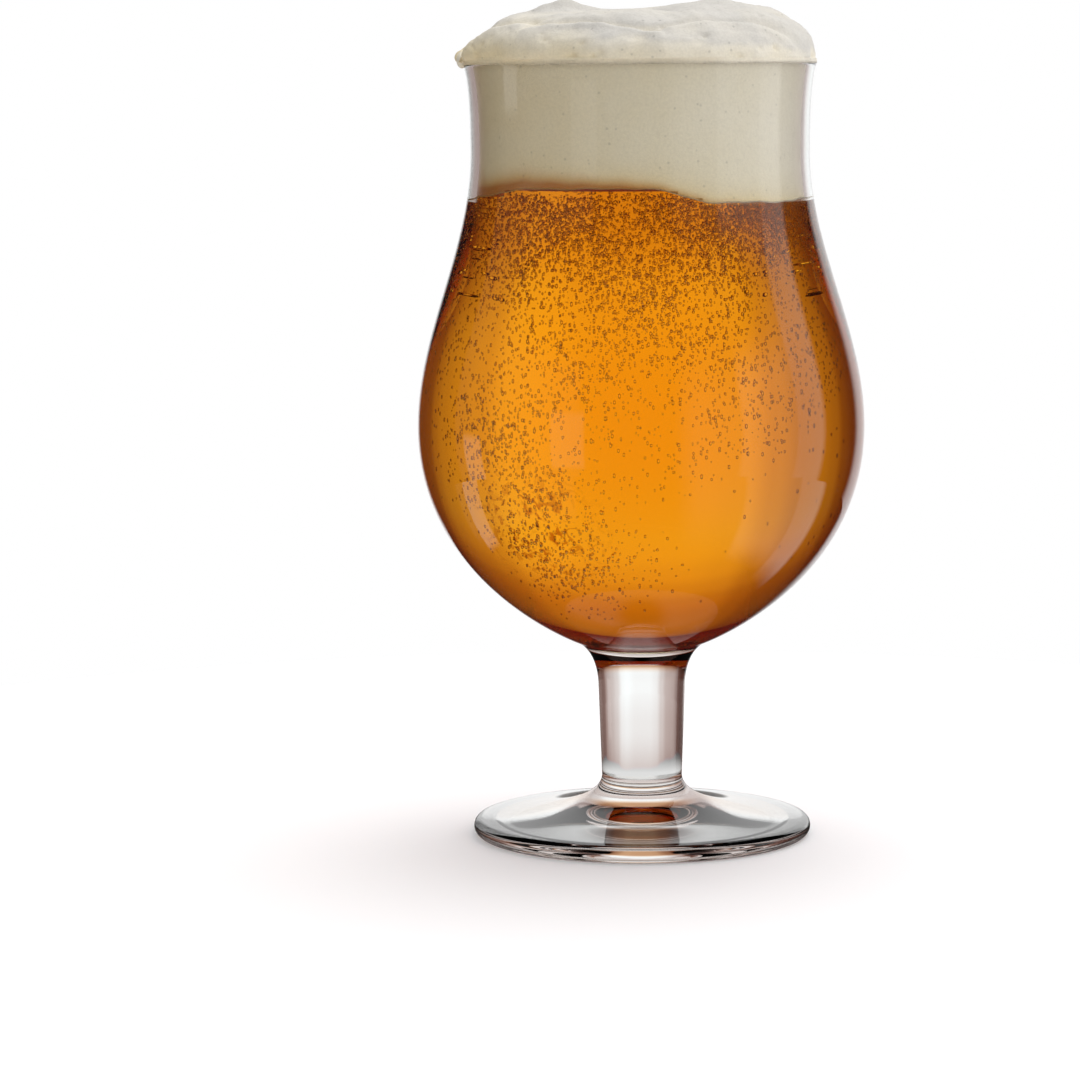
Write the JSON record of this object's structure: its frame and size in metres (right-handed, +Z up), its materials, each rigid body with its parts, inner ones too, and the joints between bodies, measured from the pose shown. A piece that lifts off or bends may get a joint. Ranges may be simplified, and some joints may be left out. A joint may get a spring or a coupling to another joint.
{
  "type": "beer glass",
  "caption": "Stemmed tulip beer glass with a solid short stem and round foot, filled with amber beer under a tall head of foam",
  "frame": {"origin": "centre of the foot, on the surface that the glass stands on", "axes": "+Z up along the axis of the glass; -Y is the side that the picture shows; +X to the viewer's right"},
  "size_m": [0.092, 0.092, 0.1718],
  "materials": {
    "glass": "clear soda-lime glass, fire-polished",
    "beer": "clear amber liquid with rising bubbles",
    "foam": "matte, fine-celled cream froth"
  },
  "bodies": {
    "root": {"glass": "glass", "beer": "beer", "foam_head": "foam"}
  },
  "joints": []
}
